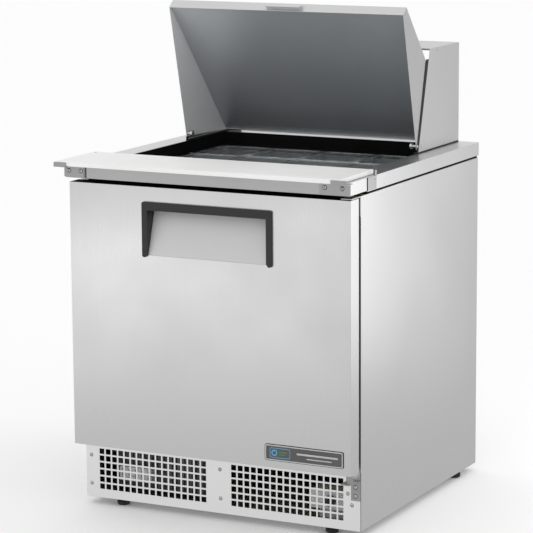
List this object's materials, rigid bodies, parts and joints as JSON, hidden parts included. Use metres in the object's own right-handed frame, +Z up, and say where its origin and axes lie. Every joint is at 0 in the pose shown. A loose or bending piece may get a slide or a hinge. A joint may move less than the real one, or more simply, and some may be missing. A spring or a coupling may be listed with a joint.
{
  "type": "sandwich prep table",
  "caption": "Undercounter refrigerated prep table with a pan rail under a hinged lid, a hood, a cutting board on a front rail and a side-hinged door.",
  "frame": {"origin": "floor point under the middle of the outline", "axes": "+Z up, the door faces -Y, +X to the right seen from the front"},
  "size_m": [0.845, 0.8864, 1.3324],
  "materials": {
    "stainless_steel": "satin",
    "dark_steel": "satin",
    "galvanised_steel": "matte",
    "liner_aluminium": "satin",
    "coil_aluminium": "satin",
    "copper_pipe": "satin",
    "black_plastic": "matte",
    "black_rubber": "matte",
    "white_board": "satin",
    "foam": "matte",
    "clear_plastic": "gloss",
    "coated_wire": "satin",
    "black_enamel": "gloss",
    "pale_plastic": "matte",
    "badge_plate": "gloss"
  },
  "bodies": {
    "cabinet": {"side_panel_left": "stainless_steel", "side_panel_right": "stainless_steel", "back_panel": "galvanised_steel", "cabinet_liner": "liner_aluminium", "cabinet_foam": "foam", "door_frame": "black_plastic", "base_tray": "galvanised_steel", "front_grille": "stainless_steel", "foot_front_left": "black_rubber", "foot_front_right": "black_rubber", "foot_rear_left": "black_rubber", "foot_rear_right": "black_rubber", "compressor": "black_enamel", "condenser_coil": "coil_aluminium", "fan_shroud": "galvanised_steel", "evaporator_coil": "coil_aluminium", "evaporator_housing": "liner_aluminium", "suction_line": "copper_pipe", "control_box": "pale_plastic", "power_inlet": "black_plastic", "worktop": "stainless_steel", "rail_liner": "black_plastic", "divider_bar_front": "stainless_steel", "divider_bar_rear": "stainless_steel", "board_support": "stainless_steel", "board_bracket_left": "stainless_steel", "board_bracket_right": "stainless_steel", "hood": "stainless_steel", "hood_seal": "black_rubber", "lid_pivot_left": "stainless_steel", "lid_pivot_right": "stainless_steel", "hinge_low": "galvanised_steel", "hinge_high": "galvanised_steel"},
    "lid": {"lid_shell": "stainless_steel", "lid_liner": "dark_steel", "lid_handle": "stainless_steel"},
    "door": {"door_skin": "stainless_steel", "door_foam": "foam", "door_liner": "liner_aluminium", "door_gasket": "black_rubber", "door_handle": "black_plastic", "handle_pocket": "stainless_steel", "badge": "badge_plate"},
    "condenser_fan": {"condenser_fan": "black_plastic"},
    "evaporator_fan": {"evaporator_fan": "black_plastic"},
    "thermostat_knob": {"thermostat_knob": "black_plastic"},
    "cutting_board": {"cutting_board": "white_board"},
    "wire_shelf": {"wire_shelf": "coated_wire"},
    "pan_01": {"pan_01": "clear_plastic"},
    "pan_02": {"pan_02": "clear_plastic"},
    "pan_03": {"pan_03": "clear_plastic"},
    "pan_04": {"pan_04": "clear_plastic"},
    "pan_05": {"pan_05": "clear_plastic"},
    "pan_06": {"pan_06": "clear_plastic"},
    "pan_07": {"pan_07": "clear_plastic"},
    "pan_08": {"pan_08": "clear_plastic"},
    "pan_09": {"pan_09": "clear_plastic"},
    "pan_10": {"pan_10": "clear_plastic"},
    "pan_11": {"pan_11": "clear_plastic"},
    "pan_12": {"pan_12": "clear_plastic"}
  },
  "joints": [
    {"name": "lid_hinge", "type": "hinge", "parent": "cabinet", "child": "lid", "pos_m": [0, 0.1505, 0.955], "axis": [1, 0, 0], "range_deg": [0, 75.5]},
    {"name": "door_hinge", "type": "hinge", "parent": "cabinet", "child": "door", "pos_m": [0.395, -0.3725, 0.52], "axis": [0, 0, 1], "range_deg": [0, 120]},
    {"name": "condenser_fan_spin", "type": "hinge", "parent": "cabinet", "child": "condenser_fan", "pos_m": [-0.204, -0.2105, 0.102], "axis": [0, 1, 0], "continuous": true},
    {"name": "evaporator_fan_spin", "type": "hinge", "parent": "cabinet", "child": "evaporator_fan", "pos_m": [0, 0.3144, 0.6703], "axis": [0, 1, 0], "continuous": true},
    {"name": "thermostat_turn", "type": "hinge", "parent": "cabinet", "child": "thermostat_knob", "pos_m": [0.309, -0.3045, 0.085], "axis": [0, 1, 0], "range_deg": [-135, 135]},
    {"name": "board_lift", "type": "slide", "parent": "cabinet", "child": "cutting_board", "axis": [0, 0, 1], "range_m": [0, 0.15]},
    {"name": "shelf_lift", "type": "slide", "parent": "cabinet", "child": "wire_shelf", "axis": [0, 0, 1], "range_m": [0, 0.06]},
    {"name": "pan_01_lift", "type": "slide", "parent": "cabinet", "child": "pan_01", "axis": [0, 0, -1], "range_m": [-0.14, 0]},
    {"name": "pan_02_lift", "type": "slide", "parent": "cabinet", "child": "pan_02", "axis": [0, 0, -1], "range_m": [-0.14, 0]},
    {"name": "pan_03_lift", "type": "slide", "parent": "cabinet", "child": "pan_03", "axis": [0, 0, -1], "range_m": [-0.14, 0]},
    {"name": "pan_04_lift", "type": "slide", "parent": "cabinet", "child": "pan_04", "axis": [0, 0, -1], "range_m": [-0.14, 0]},
    {"name": "pan_05_lift", "type": "slide", "parent": "cabinet", "child": "pan_05", "axis": [0, 0, -1], "range_m": [-0.14, 0]},
    {"name": "pan_06_lift", "type": "slide", "parent": "cabinet", "child": "pan_06", "axis": [0, 0, -1], "range_m": [-0.14, 0]},
    {"name": "pan_07_lift", "type": "slide", "parent": "cabinet", "child": "pan_07", "axis": [0, 0, -1], "range_m": [-0.14, 0]},
    {"name": "pan_08_lift", "type": "slide", "parent": "cabinet", "child": "pan_08", "axis": [0, 0, -1], "range_m": [-0.14, 0]},
    {"name": "pan_09_lift", "type": "slide", "parent": "cabinet", "child": "pan_09", "axis": [0, 0, -1], "range_m": [-0.095, 0]},
    {"name": "pan_10_lift", "type": "slide", "parent": "cabinet", "child": "pan_10", "axis": [0, 0, -1], "range_m": [-0.095, 0]},
    {"name": "pan_11_lift", "type": "slide", "parent": "cabinet", "child": "pan_11", "axis": [0, 0, -1], "range_m": [-0.095, 0]},
    {"name": "pan_12_lift", "type": "slide", "parent": "cabinet", "child": "pan_12", "axis": [0, 0, -1], "range_m": [-0.095, 0]}
  ]
}
